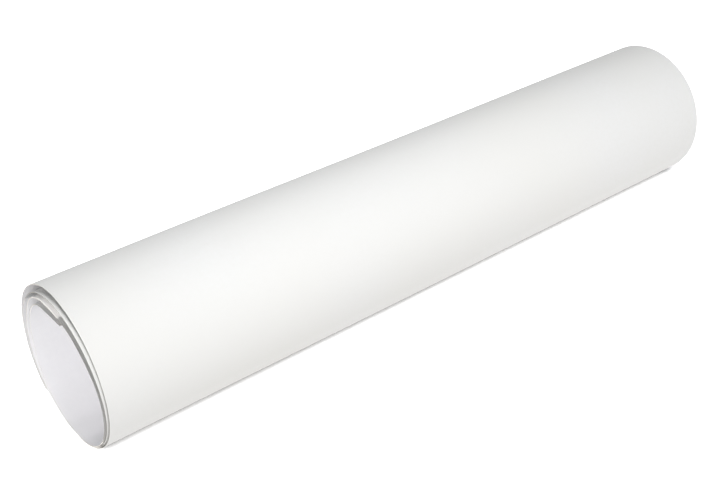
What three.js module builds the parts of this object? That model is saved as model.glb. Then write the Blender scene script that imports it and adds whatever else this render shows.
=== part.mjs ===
// A loosely rolled sheet of heavy white backdrop paper, lying on its side. Millimetres, +Z up.
// X runs along the roll, -Y is the front, and the origin is on the strip that it rests on, midway along.
//
// The sheet is one spiral in the Y-Z plane. A place on it is an angle in degrees about the roll: 0 at the
// front, 90 at the top, 180 at the back and 270 at the bottom. The angle goes on growing from turn to turn,
// from the inner free edge outwards. The sheet is cut into stretches, so that it can bend where paper bends.
import * as THREE from 'three';

// the sheet
const SHEET_WIDTH = 680;
const THICKNESS = 0.5;
const SLIT = 0.3; // left open between two stretches
const INNER_EDGE = 87; // where the sheet begins, inside
const OUTER_EDGE = 1309; // where it ends, outside

// the roll
const OUTER_RADIUS = 68;
const OUTER_TOP = 1170; // the angle of the top of the outer turn
const TURN = 360;
const RADIUS_STEP = 4.2; // each turn is this much smaller than the one outside it
const DROP_STEP = 2.9; // and its middle is this much lower
const FORWARD_STEP = 1.4; // and this much further forward
const FORWARD = 1.2; // the outer turn's middle, forward of the origin
const REST_HALF_ANGLE = 11.4; // the weight flattens the bottom of each turn: the outer one this far each way
const REST_LIFT = 0.95; // between two turns where they lie on each other

// how the turns leave the round
const TAIL_LIFT = 3.5; // the outer free end stands off
const TAIL_FROM = 1250;
const MIDDLE_PRESS = { middle: 775, half: 95, height: 3.6 }; // the first turn in springs out against the outer one
const CROWN_DIP = { middle: 408, half: 48, height: -3 }; // the second turn in sags at the front of its top
const CROWN_PRESS = { middle: 468, half: 55, height: 5.4 }; // the shoulder below presses it outwards
const SHOULDER = { middle: 138, half: 52, height: 6.2 }; // where the inner free end bends over
const FLAP_DISTANCE = 52.5; // the straight inner free end, from the middle of its turn
const FLAP_ANGLE = 92.8; // the direction that it faces
const SHOULDER_ROUNDING = 2.5;

// how far the paper stands out at the left end, from angle to angle
const SHIFTS = [
  [200, -0.5],
  [385, -1.2],
  [420, -1.5],
  [458, -4.4],
  [530, -2],
  [690, -0.9],
  [780, -2.4],
  [910, -1.3],
  [1001.4, 0],
];

const FACET = 3.4; // degrees
const PAPER = { color: 0xf3f3ee, roughness: 0.85, metalness: 0 };

const radians = THREE.MathUtils.degToRad;
const REST_MIDDLE = OUTER_TOP - TURN / 2; // the bottom of the outer turn
const REST_START = REST_MIDDLE - REST_HALF_ANGLE;
const REST_END = REST_MIDDLE + REST_HALF_ANGLE;

function bump(angle, { middle, half, height }) {
  const away = Math.min(Math.abs(angle - middle) / half, 1);
  return height * Math.cos((away * Math.PI) / 2) ** 2;
}

function smallerOf(a, b, rounding) {
  const apart = Math.max(rounding - Math.abs(a - b), 0) / rounding;
  return Math.min(a, b) - (apart * apart * rounding) / 4;
}

// the middle and radius of the turn that passes through an angle
function turnAt(angle) {
  const turns = Math.min((angle - OUTER_TOP) / TURN, 0);
  return {
    forward: FORWARD - FORWARD_STEP * turns,
    up: DROP_STEP * turns,
    radius: OUTER_RADIUS + RADIUS_STEP * turns,
  };
}

// the middle of the paper at an angle, measured from the outer turn's middle
function roundPoint(angle) {
  const { forward, up, radius } = turnAt(angle);
  let reach = radius + bump(angle, MIDDLE_PRESS) + bump(angle, CROWN_DIP);
  reach += bump(angle, CROWN_PRESS) + bump(angle, SHOULDER);
  reach += TAIL_LIFT * THREE.MathUtils.smoothstep(angle, TAIL_FROM, OUTER_EDGE - 9);
  if (angle < FLAP_ANGLE + 85) {
    const straight = FLAP_DISTANCE / Math.cos(radians(angle - FLAP_ANGLE));
    reach = smallerOf(reach, straight, SHOULDER_ROUNDING);
  }
  return {
    y: -forward - reach * Math.cos(radians(angle)),
    z: up + reach * Math.sin(radians(angle)),
  };
}

const REST_LEVEL = roundPoint(REST_START).z; // the middle of the paper in the strip that it rests on
const AXIS_HEIGHT = THICKNESS / 2 - REST_LEVEL;

function sheetPoint(angle) {
  const { y, z } = roundPoint(angle);
  const turnsInside = Math.round((REST_MIDDLE - angle) / TURN);
  const level = REST_LEVEL + REST_LIFT * turnsInside;
  return new THREE.Vector2(y, Math.max(z, level) + AXIS_HEIGHT);
}

// the direction across the paper, outwards
function sheetNormal(angle) {
  const step = 0.05;
  const along = sheetPoint(angle + step).sub(sheetPoint(angle - step)).normalize();
  return new THREE.Vector2(-along.y, along.x);
}

function shiftAt(angle) {
  let shift = SHIFTS[0][1];
  for (let i = 1; i < SHIFTS.length; i++) {
    const [from, low] = SHIFTS[i - 1];
    const [to, high] = SHIFTS[i];
    shift += (high - low) * THREE.MathUtils.smoothstep(angle, from, to);
  }
  return shift;
}

// the angle that a short way along the paper covers
function angleOf(length, angle) {
  return THREE.MathUtils.radToDeg(length / turnAt(angle).radius);
}

const roll = new THREE.Group();
roll.name = 'backdrop_paper_roll';

// one stretch of the sheet, as a solid extruded along the roll
function addStretch(name, from, to) {
  const start = from === INNER_EDGE ? from : from + angleOf(SLIT / 2, from);
  const end = to === OUTER_EDGE ? to : to - angleOf(SLIT / 2, to);
  const flat = from === REST_START;
  const facets = flat ? 1 : Math.ceil((end - start) / FACET);
  const outside = [];
  const inside = [];
  for (let i = 0; i <= facets; i++) {
    const angle = start + ((end - start) * i) / facets;
    const point = sheetPoint(angle);
    const across = flat ? new THREE.Vector2(0, -1) : sheetNormal(angle);
    outside.push(point.clone().addScaledVector(across, THICKNESS / 2));
    inside.unshift(point.clone().addScaledVector(across, -THICKNESS / 2));
  }
  const geometry = new THREE.ExtrudeGeometry(new THREE.Shape([...outside, ...inside]), {
    depth: SHEET_WIDTH,
    bevelEnabled: false,
  });
  // the section's own axes become Y and Z, and its depth runs along X
  const place = new THREE.Matrix4().makeBasis(
    new THREE.Vector3(0, 1, 0),
    new THREE.Vector3(0, 0, 1),
    new THREE.Vector3(1, 0, 0),
  );
  const mesh = new THREE.Mesh(geometry, new THREE.MeshStandardMaterial(PAPER));
  mesh.name = name;
  mesh.quaternion.setFromRotationMatrix(place);
  mesh.position.x = -SHEET_WIDTH / 2 + shiftAt((start + end) / 2);
  roll.add(mesh);
}

// neighbouring stretches of equal angle, one for each name
function addStretches(from, to, names) {
  const each = (to - from) / names.length;
  names.forEach((name, i) => addStretch(name, from + each * i, from + each * (i + 1)));
}

// the inner free end, which flexes into the hollow
const FLAP_END = 178;
addStretches(INNER_EDGE, FLAP_END, ['inner_flap_edge', 'inner_flap_shoulder', 'inner_flap_root']);

// the inner turn around the hollow, which slides along the roll
const INNER_END = 630;
addStretches(FLAP_END, INNER_END, [
  'inner_back',
  'inner_bottom_back',
  'inner_bottom',
  'inner_bottom_front',
  'inner_front',
  'inner_front_high',
  'inner_crown_front',
  'inner_crown',
  'inner_crown_back',
  'inner_second_back',
  'inner_second_back_low',
  'inner_second_bottom',
]);

// the turn between it and the outer one
addStretches(INNER_END, REST_START, [
  'middle_front_low',
  'middle_front_high',
  'middle_crown_front',
  'middle_crown_back',
  'middle_back',
  'middle_bottom',
]);

// the flat stretch that the roll rests on
addStretch('rest_strip', REST_START, REST_END);

// the outer turn, which unrolls to the front: half a leaf, then whole ones
const LEAF_NAMES = [
  'outer_front_low',
  'outer_front',
  'outer_front_high',
  'outer_shoulder_front',
  'outer_crown_front',
  'outer_crown_back',
  'outer_shoulder_back',
  'outer_back_high',
  'outer_back',
  'outer_back_low',
  'outer_tail',
];
const LEAF = (OUTER_EDGE - REST_END) / (LEAF_NAMES.length + 0.5);
addStretch('outer_front_foot', REST_END, REST_END + LEAF / 2);
addStretches(REST_END + LEAF / 2, OUTER_EDGE, LEAF_NAMES);

export default roll;
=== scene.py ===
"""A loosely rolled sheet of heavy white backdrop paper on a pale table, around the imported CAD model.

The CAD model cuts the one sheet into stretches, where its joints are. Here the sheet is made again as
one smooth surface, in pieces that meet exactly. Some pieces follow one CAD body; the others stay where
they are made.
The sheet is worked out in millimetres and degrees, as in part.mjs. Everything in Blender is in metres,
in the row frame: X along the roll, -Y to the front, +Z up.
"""

import math

import bpy
import numpy as np
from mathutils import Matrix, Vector


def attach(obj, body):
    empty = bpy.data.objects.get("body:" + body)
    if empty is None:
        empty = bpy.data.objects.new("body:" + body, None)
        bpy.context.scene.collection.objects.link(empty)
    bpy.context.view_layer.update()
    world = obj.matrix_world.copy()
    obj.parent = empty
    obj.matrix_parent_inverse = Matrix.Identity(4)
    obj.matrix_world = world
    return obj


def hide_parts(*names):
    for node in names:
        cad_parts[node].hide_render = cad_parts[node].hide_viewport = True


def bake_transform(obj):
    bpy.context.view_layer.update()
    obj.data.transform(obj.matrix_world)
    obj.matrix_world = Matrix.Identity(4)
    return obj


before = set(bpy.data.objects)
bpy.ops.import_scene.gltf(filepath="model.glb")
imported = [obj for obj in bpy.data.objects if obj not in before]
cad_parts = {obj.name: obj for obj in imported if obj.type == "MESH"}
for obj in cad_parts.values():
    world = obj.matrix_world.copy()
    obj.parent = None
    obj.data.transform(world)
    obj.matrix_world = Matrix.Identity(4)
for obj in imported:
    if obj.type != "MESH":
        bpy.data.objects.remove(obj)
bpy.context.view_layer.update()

MM = 0.001
TURN = 360.0

# ---------------------------------------------------------------- the sheet, as part.mjs winds it

SHEET_WIDTH = 680.0
THICKNESS = 0.5
INNER_EDGE = 87.0  # angle about the roll: 0 front, 90 top, 180 back, 270 bottom, growing turn by turn
OUTER_EDGE = 1309.0
OUTER_RADIUS = 68.0
OUTER_TOP = 1170.0  # the top of the outer turn
RADIUS_STEP = 4.2  # each turn is this much smaller than the one outside it
DROP_STEP = 2.9  # and its middle is this much lower
FORWARD_STEP = 1.4  # and this much further forward
FORWARD = 1.2  # the outer turn's middle, forward of the origin
REST_HALF_ANGLE = 11.4  # the weight flattens the bottom of each turn: the outer one this far each way
REST_LIFT = 0.95  # between two turns where they lie on each other
REST_ROUNDING = 0.9  # how gently the flattened bottom of a turn runs into its round
TAIL_LIFT = 3.5  # the outer free end stands off
TAIL_FROM = 1250.0
TAIL_FULL = 1300.0
MIDDLE_PRESS = (775.0, 95.0, 3.6)  # where a turn leaves the round: middle, half width, height
CROWN_DIP = (408.0, 48.0, -3.0)
CROWN_PRESS = (468.0, 55.0, 5.4)
SHOULDER = (138.0, 52.0, 6.2)
FLAP_DISTANCE = 52.5  # the straight inner free end, from the middle of its turn
FLAP_ANGLE = 92.8  # the direction that it faces
FLAP_REACH = 85.0  # how far past that direction its straight line is looked at
SHOULDER_ROUNDING = 2.5
SHIFTS = [  # angle, and how far the paper is shifted along the roll there
    (200.0, -0.5),
    (385.0, -1.2),
    (420.0, -1.5),
    (458.0, -4.4),
    (530.0, -2.0),
    (690.0, -0.9),
    (780.0, -2.4),
    (910.0, -1.3),
    (1001.4, 0.0),
]

REST_MIDDLE = OUTER_TOP - TURN / 2
REST_START = REST_MIDDLE - REST_HALF_ANGLE
REST_END = REST_MIDDLE + REST_HALF_ANGLE
FLAP_END = 178.0
FLAP_NODES = ["inner_flap_edge", "inner_flap_shoulder", "inner_flap_root"]
LEAF_NODES = [
    "outer_front_low",
    "outer_front",
    "outer_front_high",
    "outer_shoulder_front",
    "outer_crown_front",
    "outer_crown_back",
    "outer_shoulder_back",
    "outer_back_high",
    "outer_back",
    "outer_back_low",
    "outer_tail",
]
FLAP = (FLAP_END - INNER_EDGE) / len(FLAP_NODES)  # the angle that one stretch of the flap covers
LEAF = (OUTER_EDGE - REST_END) / (len(LEAF_NODES) + 0.5)  # and one of the outer turn

# ---------------------------------------------------------------- its waviness

WAVE_SEED = 11
WAVE_COUNT = 14
WAVE_HEIGHT = 0.16
WAVES_AROUND = (1, 6)  # whole waves in one turn: from 1 to 5
WAVES_ALONG = (1.0, 5.5)  # half waves along the roll
WAVE_SHARES = (0.35, 1.0)  # of the height
WAVE_FADE = (0.03, 0.25)  # how high up the roll the waves begin and are full, as shares of its height
EDGE_WANDER = 0.35  # the cut edges wander about this much along the roll
EDGE_WAVES = ((0.7, 1.0, 1.0), (3.1, 0.0, 0.4))  # waves in one turn, phase in radians, share
EDGE_POWER = 8  # how closely the wander keeps to the cut edges

# ---------------------------------------------------------------- how finely it is measured and meshed

ANGLE_STEP = 1.5
LENGTH_STEP = 9.0
END_STEPS = (0.0, 1.0, 2.5, 5.0, 9.0)  # finer towards the cut edges
SLOPE_STEP = 0.05  # the angle each way that gives the direction of the smooth section
TANGENT_STEP = 0.1  # and that of the wavy surface
SHARE_STEP = 0.0005  # the share of the width each way that gives the surface's direction along the roll
LENGTHS_STEP = 0.25  # the angle between two rows of the table of lengths


def smooth(value, low, high):
    t = np.clip((value - low) / (high - low), 0.0, 1.0)
    return t * t * (3 - 2 * t)


def bump(angle, shape):
    middle, half, height = shape
    away = np.minimum(np.abs(angle - middle) / half, 1.0)
    return height * np.cos(away * math.pi / 2) ** 2


def smaller_of(a, b, rounding):
    apart = np.maximum(rounding - np.abs(a - b), 0.0) / rounding
    return np.minimum(a, b) - apart * apart * rounding / 4


def round_point(angle):
    """The middle of the paper, before the weight flattens the bottoms of the turns."""
    turns = np.minimum((angle - OUTER_TOP) / TURN, 0.0)
    reach = OUTER_RADIUS + RADIUS_STEP * turns
    for shape in (MIDDLE_PRESS, CROWN_DIP, CROWN_PRESS, SHOULDER):
        reach = reach + bump(angle, shape)
    reach = reach + TAIL_LIFT * smooth(angle, TAIL_FROM, TAIL_FULL)
    on_flap = angle < FLAP_ANGLE + FLAP_REACH
    lean = np.radians(np.where(on_flap, angle - FLAP_ANGLE, 0.0))
    straight = FLAP_DISTANCE / np.cos(lean)
    reach = np.where(on_flap, smaller_of(reach, straight, SHOULDER_ROUNDING), reach)
    y = -FORWARD + FORWARD_STEP * turns - reach * np.cos(np.radians(angle))
    z = DROP_STEP * turns + reach * np.sin(np.radians(angle))
    return y, z


REST_LEVEL = float(round_point(np.array([REST_START]))[1][0])
AXIS_HEIGHT = THICKNESS / 2 - REST_LEVEL


def section(angle):
    """The middle of the paper in the Y-Z plane, standing on the table."""
    y, z = round_point(angle)
    level = REST_LEVEL + REST_LIFT * np.round((REST_MIDDLE - angle) / TURN)
    return y, -smaller_of(-z, -level, REST_ROUNDING) + AXIS_HEIGHT


def make_waves():
    """Gentle undulations: for each, its waves around and along, its phase in both, and its height.

    They are the same in every turn at one place about the roll, so that no turn meets the next.
    """
    rng = np.random.default_rng(WAVE_SEED)
    waves = []
    for _ in range(WAVE_COUNT):
        around = int(rng.integers(*WAVES_AROUND))
        along = rng.uniform(*WAVES_ALONG)
        height = WAVE_HEIGHT * rng.uniform(*WAVE_SHARES) / math.sqrt(around * along)
        phase_around = rng.uniform(0, 2 * math.pi)
        phase_along = rng.uniform(0, 2 * math.pi)
        waves.append((around, along, phase_around, phase_along, height))
    return waves


WAVES = make_waves()


def waviness(angle, share):
    """How far the sheet stands out of its smooth form; none of it where the roll rests."""
    total = np.zeros(np.broadcast(angle, share).shape)
    for around, along, phase_around, phase_along, height in WAVES:
        wave_around = np.cos(around * np.radians(angle) + phase_around)
        total += height * wave_around * np.cos(along * math.pi * share + phase_along)
    raised = 0.5 - 0.5 * np.cos(np.radians(angle - REST_MIDDLE))
    return total * smooth(raised, *WAVE_FADE)


def shift_along(angle):
    """How far a turn is shifted along the roll."""
    shift = SHIFTS[0][1]
    for (start, low), (end, high) in zip(SHIFTS, SHIFTS[1:]):
        shift = shift + (high - low) * smooth(angle, start, end)
    return shift


def edge_wander(angle, share):
    """How far the cut edges stand out along the roll, which fades towards the middle of the sheet."""
    wander = sum(size * np.sin(waves * np.radians(angle) + phase) for waves, phase, size in EDGE_WAVES)
    return EDGE_WANDER * wander * np.abs(2 * share - 1) ** EDGE_POWER


def surface(angle, share):
    """The middle of the sheet at an angle about the roll and a share of its width."""
    y, z = section(angle)
    y_on, z_on = section(angle + SLOPE_STEP)
    y_back, z_back = section(angle - SLOPE_STEP)
    along_y, along_z = y_on - y_back, z_on - z_back
    size = np.hypot(along_y, along_z)
    out_y, out_z = -along_z / size, along_y / size
    wave = waviness(angle, share)
    x = (share - 0.5) * SHEET_WIDTH + shift_along(angle) + edge_wander(angle, share)
    return np.stack(np.broadcast_arrays(x, y + out_y * wave, z + out_z * wave), axis=-1)


def unit(vectors):
    return vectors / np.linalg.norm(vectors, axis=-1, keepdims=True)


def surface_tangent(angle, share):
    """Around the roll, the way that the angle grows."""
    return surface(angle + TANGENT_STEP, share) - surface(angle - TANGENT_STEP, share)


def surface_normal(angle, share):
    """Outwards, across the paper."""
    along = surface(angle, share + SHARE_STEP) - surface(angle, share - SHARE_STEP)
    return unit(np.cross(along, surface_tangent(angle, share)))


def length_table():
    """Arc length along the sheet for a row of angles."""
    angles = np.arange(INNER_EDGE, OUTER_EDGE + LENGTHS_STEP, LENGTHS_STEP)
    y, z = section(angles)
    steps = np.hypot(np.diff(y), np.diff(z))
    return angles, np.concatenate([[0.0], np.cumsum(steps)])


LENGTH_ANGLES, LENGTHS = length_table()


def length_at(angle):
    """How much of the sheet is wound inside an angle."""
    return np.interp(angle, LENGTH_ANGLES, LENGTHS)


def width_shares():
    """Where the mesh has its lines across the sheet, as shares of its width."""
    ends = np.array(END_STEPS)
    count = round((SHEET_WIDTH - 2 * ends[-1]) / LENGTH_STEP)
    middle = np.linspace(ends[-1], SHEET_WIDTH - ends[-1], count + 1)
    return np.concatenate([ends[:-1], middle, SHEET_WIDTH - ends[:-1][::-1]]) / SHEET_WIDTH


SHARES = width_shares()

# ---------------------------------------------------------------- materials

MIX_FIRST, MIX_SECOND, MIX_RESULT = 6, 7, 2  # a Mix node's sockets for colours


class Nodes:
    """A short way to write the node tree of a material or a world."""

    def __init__(self, owner, shader):
        owner.use_nodes = True
        self.tree = owner.node_tree
        self.shader = self.tree.nodes[shader]

    def fill(self, node, inputs):
        """Links each input that is given a socket, and sets each that is given a value."""
        for key, value in inputs.items():
            if isinstance(value, bpy.types.NodeSocket):
                self.tree.links.new(value, node.inputs[key])
            else:
                node.inputs[key].default_value = value

    def add(self, kind, inputs, **settings):
        node = self.tree.nodes.new(kind)
        for key, value in settings.items():
            setattr(node, key, value)
        self.fill(node, inputs)
        return node

    def shade(self, inputs):
        self.fill(self.shader, inputs)


def sheet_coordinates(nodes, scale):
    """The sheet's own coordinates, in metres, stretched by scale."""
    flat = nodes.add("ShaderNodeUVMap", {}, uv_map="sheet").outputs["UV"]
    return nodes.add("ShaderNodeMapping", {"Vector": flat, "Scale": scale}).outputs["Vector"]


def noise(nodes, scale, detail, roughness=0.5, grain=(1.0, 1.0, 1.0)):
    inputs = {
        "Vector": sheet_coordinates(nodes, grain),
        "Scale": scale,
        "Detail": detail,
        "Roughness": roughness,
    }
    return nodes.add("ShaderNodeTexNoise", inputs).outputs["Fac"]


def spread(nodes, value, low, high, to_low=0.0, to_high=1.0):
    inputs = {"Value": value, "From Min": low, "From Max": high, "To Min": to_low, "To Max": to_high}
    return nodes.add("ShaderNodeMapRange", inputs).outputs["Result"]


def seen_or_not(nodes, seen, not_seen):
    """One value for what the camera sees, and another for what lights the paper."""
    is_seen = nodes.add("ShaderNodeLightPath", {}).outputs["Is Camera Ray"]
    return spread(nodes, is_seen, 0.0, 1.0, not_seen, seen)


def mixed(nodes, share, first, second):
    inputs = {"Factor": share, MIX_FIRST: first, MIX_SECOND: second}
    return nodes.add("ShaderNodeMix", inputs, data_type="RGBA").outputs[MIX_RESULT]


def bumped(nodes, height, distance, strength, under=None):
    inputs = {"Height": height, "Distance": distance, "Strength": strength}
    if under is not None:
        inputs["Normal"] = under
    return nodes.add("ShaderNodeBump", inputs).outputs["Normal"]


def paper(name, clear, cloudy, warm):
    """Heavy matt paper: cloudy formation, a slow drift of tone, fibres and a fine tooth."""
    material = bpy.data.materials.new(name)
    nodes = Nodes(material, "Principled BSDF")
    formation = noise(nodes, scale=260.0, detail=3.0, roughness=0.6)
    drift = noise(nodes, scale=5.0, detail=2.0)
    fibres = noise(nodes, scale=900.0, detail=3.0, roughness=0.6, grain=(1.0, 0.22, 1.0))
    cross_fibres = noise(nodes, scale=1100.0, detail=2.0, roughness=0.6, grain=(0.2, 1.0, 1.0))
    tooth = noise(nodes, scale=2600.0, detail=2.0, roughness=0.7)
    colour = mixed(nodes, spread(nodes, formation, low=0.3, high=0.7), clear, cloudy)
    colour = mixed(nodes, spread(nodes, drift, low=0.35, high=0.65), colour, warm)
    normal = bumped(nodes, formation, distance=0.0004, strength=0.12)
    normal = bumped(nodes, fibres, distance=0.00012, strength=0.35, under=normal)
    normal = bumped(nodes, cross_fibres, distance=0.0001, strength=0.3, under=normal)
    normal = bumped(nodes, tooth, distance=0.00006, strength=0.4, under=normal)
    nodes.shade(
        {
            "Base Color": colour,
            "Roughness": spread(nodes, tooth, low=0.3, high=0.7, to_low=0.78, to_high=0.92),
            "Normal": normal,
            "Specular IOR Level": 0.3,
            "Sheen Weight": 0.06,
            "Sheen Roughness": 0.6,
        }
    )
    return material


def cut_edge(name, dark, light):
    """The sheet's knife-cut edge: the layers of fibre in its thickness, rougher than a face, and darker,
    partly dirt and partly painted shade of the thin edge.
    """
    material = bpy.data.materials.new(name)
    nodes = Nodes(material, "Principled BSDF")
    layers = noise(nodes, scale=2200.0, detail=3.0, roughness=0.7, grain=(0.25, 1.0, 1.0))
    nodes.shade(
        {
            "Base Color": mixed(nodes, spread(nodes, layers, low=0.3, high=0.7), dark, light),
            "Normal": bumped(nodes, layers, distance=0.0002, strength=0.6),
            "Roughness": 0.95,
            "Specular IOR Level": 0.2,
        }
    )
    return material


FACE = paper(
    "paper_face",
    clear=(0.915, 0.903, 0.88, 1.0),
    cloudy=(0.932, 0.922, 0.905, 1.0),
    warm=(0.92, 0.905, 0.872, 1.0),
)
# the inside face: the same paper painted darker and cooler, a painted shade for the cool shade inside the
# hollow
BACK_PAINTED_SHADE = paper(
    "paper_back_painted_shade",
    clear=(0.875, 0.875, 0.89, 1.0),
    cloudy=(0.90, 0.90, 0.91, 1.0),
    warm=(0.88, 0.875, 0.88, 1.0),
)
# the cut edge is darker than a face: partly dirt, partly painted shade of the thin edge
EDGE_DIRT_AND_PAINTED_SHADE = cut_edge("paper_cut_edge_dirt_and_painted_shade", dark=(0.60, 0.57, 0.50, 1.0), light=(0.72, 0.70, 0.64, 1.0))
FACE_SLOT, BACK_SLOT, EDGE_SLOT = 0, 1, 2

# ---------------------------------------------------------------- the sheet's pieces

FRONT_START = 328.7  # the angles where the coil's pieces meet
CROWN_START = 441.7
CROWN_END = 479.3
SHEAR_START = 540.0  # the back of the second turn, where the paper begins to give as the inner turn slides
SHEAR_END = 676.0  # past the bottom of the same turn
MIDDLE_BACK_START = 862.4

INNER_BOTTOM_NODES = ["inner_back", "inner_bottom_back", "inner_bottom", "inner_bottom_front"]
INNER_PIECES = [  # on the inner turn: name, where the piece ends, the CAD nodes that it stands for
    ("sheet_inner_bottom", FRONT_START, INNER_BOTTOM_NODES),
    ("sheet_inner_front", CROWN_START, ["inner_front", "inner_front_high", "inner_crown_front"]),
    ("sheet_inner_crown", CROWN_END, ["inner_crown"]),
    ("sheet_inner_back", SHEAR_START, ["inner_crown_back"]),
]
SHEAR_NODES = ["inner_second_back", "inner_second_back_low", "inner_second_bottom", "middle_front_low"]
MIDDLE_CROWN_NODES = ["middle_front_high", "middle_crown_front", "middle_crown_back"]
MIDDLE_PIECES = [  # on the coil, in the same way
    ("sheet_middle_crown", MIDDLE_BACK_START, MIDDLE_CROWN_NODES),
    ("sheet_middle_back", REST_START, ["middle_back", "middle_bottom"]),
]


def quads(rows, columns, first, flip):
    """The quads of a grid of points numbered row by row from first."""
    r, c = np.meshgrid(np.arange(rows - 1), np.arange(columns - 1), indexing="ij")
    corner = first + r * columns + c
    loop = [corner, corner + 1, corner + columns + 1, corner + columns]
    if flip:
        loop.reverse()
    return np.stack(loop, axis=-1).reshape(-1, 4)


def rim(outer, inner, flip):
    """The quads that join a line of outside points to the same line of inside points."""
    loop = [outer[:-1], outer[1:], inner[1:], inner[:-1]]
    if flip:
        loop.reverse()
    return np.stack(loop, axis=-1)


def sides(rows, columns):
    """The quads of a stretch's six sides. Its outside points come first, then its inside points."""
    total = rows * columns
    grid = np.arange(total).reshape(rows, columns)
    outside = quads(rows, columns, 0, False)
    inside = quads(rows, columns, total, True)
    near = rim(grid[:, 0], grid[:, 0] + total, False)
    far = rim(grid[:, -1], grid[:, -1] + total, True)
    first = rim(grid[0], grid[0] + total, True)
    last = rim(grid[-1], grid[-1] + total, False)
    return outside, inside, near, far, first, last


def flat_places(angles):
    """Where the points of a stretch are on the flat sheet, in metres, for the materials.

    The inside is set off by the thickness, so that the cut edges aren't mere lines there.
    """
    along, across = np.meshgrid(length_at(angles), SHARES * SHEET_WIDTH, indexing="ij")
    flat = np.stack([along.ravel(), across.ravel()], axis=-1) * MM
    return np.concatenate([flat, flat + THICKNESS * MM])


def stretch(name, start, end):
    """The sheet between two angles, as a closed solid of the paper's thickness."""
    count = max(2, math.ceil((end - start) / ANGLE_STEP))
    angles = np.linspace(start, end, count + 1)[:, None]
    shares = SHARES[None, :]
    middle = surface(angles, shares)
    normal = surface_normal(angles, shares)
    rows, columns = middle.shape[:2]
    total = rows * columns
    points = np.concatenate(
        [(middle + side * normal * THICKNESS / 2).reshape(-1, 3) for side in (1, -1)]
    )
    outside, inside, near, far, first, last = sides(rows, columns)
    faces = np.concatenate([outside, inside, near, far, first, last])

    mesh = bpy.data.meshes.new(name)
    mesh.from_pydata((points * MM).tolist(), [], faces.tolist())
    slots = np.full(len(faces), EDGE_SLOT, np.int32)
    slots[: len(outside)] = FACE_SLOT
    slots[len(outside) : len(outside) + len(inside)] = BACK_SLOT
    for material in (FACE, BACK_PAINTED_SHADE, EDGE_DIRT_AND_PAINTED_SHADE):
        mesh.materials.append(material)
    mesh.polygons.foreach_set("material_index", slots)
    mesh.polygons.foreach_set("use_smooth", np.ones(len(faces), bool))
    flat = flat_places(angles[:, 0])
    mesh.uv_layers.new(name="sheet").data.foreach_set("uv", flat[faces.ravel()].ravel())

    outwards = normal.reshape(-1, 3)
    onwards = unit(surface_tangent(angles, shares)).reshape(-1, 3)
    corner_normals = np.concatenate(
        [
            outwards[outside.ravel()],
            -outwards[inside.ravel() - total],
            np.tile((-1.0, 0.0, 0.0), (near.size, 1)),
            np.tile((1.0, 0.0, 0.0), (far.size, 1)),
            -onwards[first.ravel() % total],
            onwards[last.ravel() % total],
        ]
    )
    mesh.normals_split_custom_set(corner_normals.tolist())
    piece = bpy.data.objects.new(name, mesh)
    bpy.context.scene.collection.objects.link(piece)
    return piece


def finish_piece(nodes):
    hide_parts(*nodes)


def rigid_pieces(start, body, pieces):
    """Neighbouring pieces that follow one body, each from where the one before it ends."""
    for name, end, nodes in pieces:
        piece = stretch(name, start, end)
        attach(piece, body)
        finish_piece(nodes)
        start = end


def bending_piece(name, span, bodies, turns_from, turns_to, nodes):
    """A piece between two angles, left where it is made and following no body."""
    start, end = span
    piece = stretch(name, start, end)
    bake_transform(piece)
    finish_piece(nodes)


def make_inner_flap():
    """The inner free end, in pieces, each reaching from the middle of its own stretch on into the next."""
    bodies = [name + "_leaf" for name in FLAP_NODES] + ["inner_turn"]
    middles = [INNER_EDGE + FLAP * (i + 0.5) for i in range(len(FLAP_NODES))] + [FLAP_END + FLAP / 2]
    start = INNER_EDGE
    for i, node in enumerate(FLAP_NODES):
        end = middles[i + 1]
        bending_piece("sheet_" + node, (start, end), bodies[i : i + 2], middles[i], end, [node])
        start = end
    return start


def make_coil(start):
    rigid_pieces(start, "inner_turn", INNER_PIECES)
    shear = (SHEAR_START, SHEAR_END)
    bending_piece("sheet_inner_to_middle", shear, ["inner_turn", "coil"], *shear, SHEAR_NODES)
    rigid_pieces(SHEAR_END, "coil", MIDDLE_PIECES)


def make_outer_turn():
    """The outer turn: each piece runs from the middle of its own stretch to the middle of the next."""
    foot_middle = REST_END + LEAF / 4
    bending_piece(
        "sheet_rest_strip",
        (REST_START, foot_middle),
        ["coil", "outer_front_foot_leaf"],
        REST_MIDDLE,
        foot_middle,
        ["rest_strip"],
    )
    names = ["outer_front_foot"] + LEAF_NODES
    middles = [foot_middle] + [REST_END + LEAF * (i + 1) for i in range(len(LEAF_NODES))]
    for i in range(len(names) - 1):
        is_last = i == len(names) - 2
        bending_piece(
            "sheet_" + names[i],
            (middles[i], OUTER_EDGE if is_last else middles[i + 1]),
            [names[i] + "_leaf", names[i + 1] + "_leaf"],
            middles[i],
            middles[i + 1],
            [names[i], names[i + 1]] if is_last else [names[i]],
        )


# ---------------------------------------------------------------- camera, table and light, in metres

NEAR_END = Vector((-SHEET_WIDTH / 2, -FORWARD, AXIS_HEIGHT)) * MM
CAMERA_FROM_NEAR_END = Vector((-0.2596, -0.6737, 0.5713))
CAMERA_FORWARD = Vector((0.5220, 0.6437, -0.5596))
CAMERA_LENS = 58.96  # millimetres, as is the sensor
CAMERA_SENSOR = 36.0
CAMERA_CLIP = (0.05, 50.0)

TABLE_HALF = 30.0
TABLE_TONE = 0.45  # of the lit table that the camera sees
TABLE_GLOW = 0.8  # the strength of the even light that the paper gets back from it
WORLD_COLOUR = (0.96, 0.98, 1.0, 1.0)
WORLD_SEEN = 1.0
WORLD_LIGHT = 0.32

# the pieces whose insides show through the open end: those around the hollow, and those outside them
AROUND_HOLLOW = [
    "sheet_inner_crown",
    "sheet_inner_flap_shoulder",
    "sheet_inner_flap_root",
    "sheet_inner_bottom",
    "sheet_inner_back",
    "sheet_inner_to_middle",
]
AT_THE_BACK = [
    "sheet_middle_back",
    "sheet_outer_shoulder_back",
    "sheet_outer_back_high",
    "sheet_outer_back",
    "sheet_outer_back_low",
]

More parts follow.
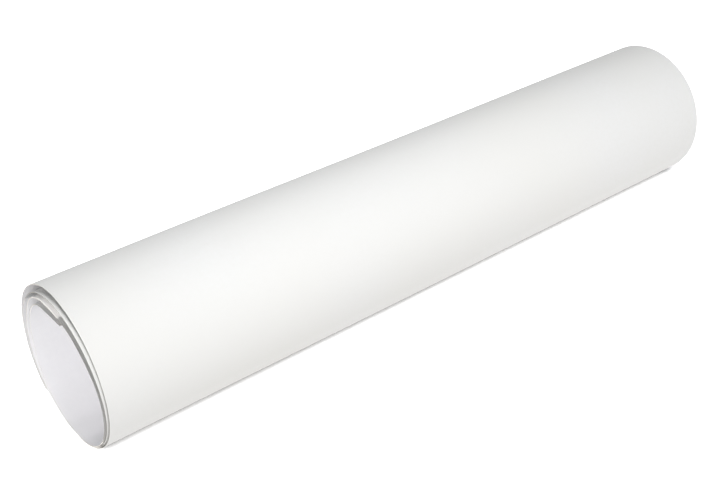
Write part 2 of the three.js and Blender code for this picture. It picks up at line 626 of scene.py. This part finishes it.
LIT_HEIGHT = 0.07  # the lights on the paper are aimed at this height
MAIN_COLOUR = (0.97, 0.985, 1.0)
MAIN_LIGHTS = [  # name, place, where along the roll it is aimed, size, power in watts
    ("front", (0.4, -2.1, 0.55), 0.0, 1.2, 10.0),
    ("top", (0.4, 0.0, 2.2), 0.0, 1.4, 9.5),
    ("key", (-0.22, -0.38, 0.87), -0.22, 0.45, 3.1),
]
END_COLOUR = (0.975, 0.955, 0.97)
END_AIM = -SHEET_WIDTH / 2 * MM
END_SIZE = 0.8
END_LIGHTS = [  # name, place, power in watts, the pieces that it lights
    ("hollow", (-1.5, -0.55, 0.5), 19.0, AROUND_HOLLOW),
    ("back", (-1.5, -0.55, 0.06), 20.0, AT_THE_BACK),
]
TABLE_LIGHT_DIRECTION = Vector((0.522, 0.644, -0.85))
TABLE_LIGHT_STRENGTH = 17.0
TABLE_LIGHT_ANGLE = 0.35  # how soft the sun is, in radians


def add_aimed(data, location, direction):
    """Puts a camera or a light in the scene, looking in a direction."""
    thing = bpy.data.objects.new(data.name, data)
    thing.location = location
    thing.rotation_mode = "QUATERNION"
    thing.rotation_quaternion = direction.to_track_quat("-Z", "Y")
    bpy.context.scene.collection.objects.link(thing)
    return thing


def make_camera():
    data = bpy.data.cameras.new("camera")
    data.lens = CAMERA_LENS
    data.sensor_width = CAMERA_SENSOR
    data.clip_start, data.clip_end = CAMERA_CLIP
    bpy.context.scene.camera = add_aimed(data, NEAR_END + CAMERA_FROM_NEAR_END, CAMERA_FORWARD)


def make_table():
    """The camera sees the table lit, and the paper gets an even light back from it."""
    corners = [(-TABLE_HALF, -TABLE_HALF, 0), (TABLE_HALF, -TABLE_HALF, 0)]
    corners += [(TABLE_HALF, TABLE_HALF, 0), (-TABLE_HALF, TABLE_HALF, 0)]
    mesh = bpy.data.meshes.new("floor")
    mesh.from_pydata(corners, [], [(0, 1, 2, 3)])
    material = bpy.data.materials.new("floor")
    nodes = Nodes(material, "Principled BSDF")
    nodes.shade(
        {
            "Base Color": seen_or_not(nodes, TABLE_TONE, 0.0),
            "Roughness": 0.9,
            "Specular IOR Level": 0.1,
            "Emission Color": (1.0, 1.0, 1.0, 1.0),
            "Emission Strength": seen_or_not(nodes, 0.0, TABLE_GLOW),
        }
    )
    mesh.materials.append(material)
    floor = bpy.data.objects.new("floor", mesh)
    bpy.context.scene.collection.objects.link(floor)


def make_world():
    world = bpy.data.worlds.new("studio")
    nodes = Nodes(world, "Background")
    nodes.shade({"Color": WORLD_COLOUR, "Strength": seen_or_not(nodes, WORLD_SEEN, WORLD_LIGHT)})
    bpy.context.scene.world = world


def area_light(name, location, aim_along, size, power, colour):
    data = bpy.data.lights.new(name, "AREA")
    data.shape = "DISK"
    data.size = size
    data.energy = power
    data.color = colour
    target = Vector((aim_along, 0.0, LIT_HEIGHT))
    return add_aimed(data, location, target - Vector(location))


def table_light():
    data = bpy.data.lights.new("table", "SUN")
    data.energy = TABLE_LIGHT_STRENGTH
    data.angle = TABLE_LIGHT_ANGLE
    return add_aimed(data, (0.0, 0.0, 0.0), TABLE_LIGHT_DIRECTION)


def light_only(light, pieces):
    lit = bpy.data.collections.new("lit_from_" + light.name)
    for piece in pieces:
        lit.objects.link(bpy.data.objects[piece])
    light.light_linking.receiver_collection = lit


def make_lights():
    for name, location, aim_along, size, power in MAIN_LIGHTS:
        area_light(name, location, aim_along, size, power, MAIN_COLOUR)
    light_only(table_light(), ["floor"])
    for name, location, power, pieces in END_LIGHTS:
        light = area_light(name, location, END_AIM, END_SIZE, power, END_COLOUR)
        light_only(light, pieces)


make_camera()
make_table()
coil_start = make_inner_flap()
make_coil(coil_start)
make_outer_turn()
make_world()
make_lights()
bpy.context.scene.view_settings.view_transform = "Standard"
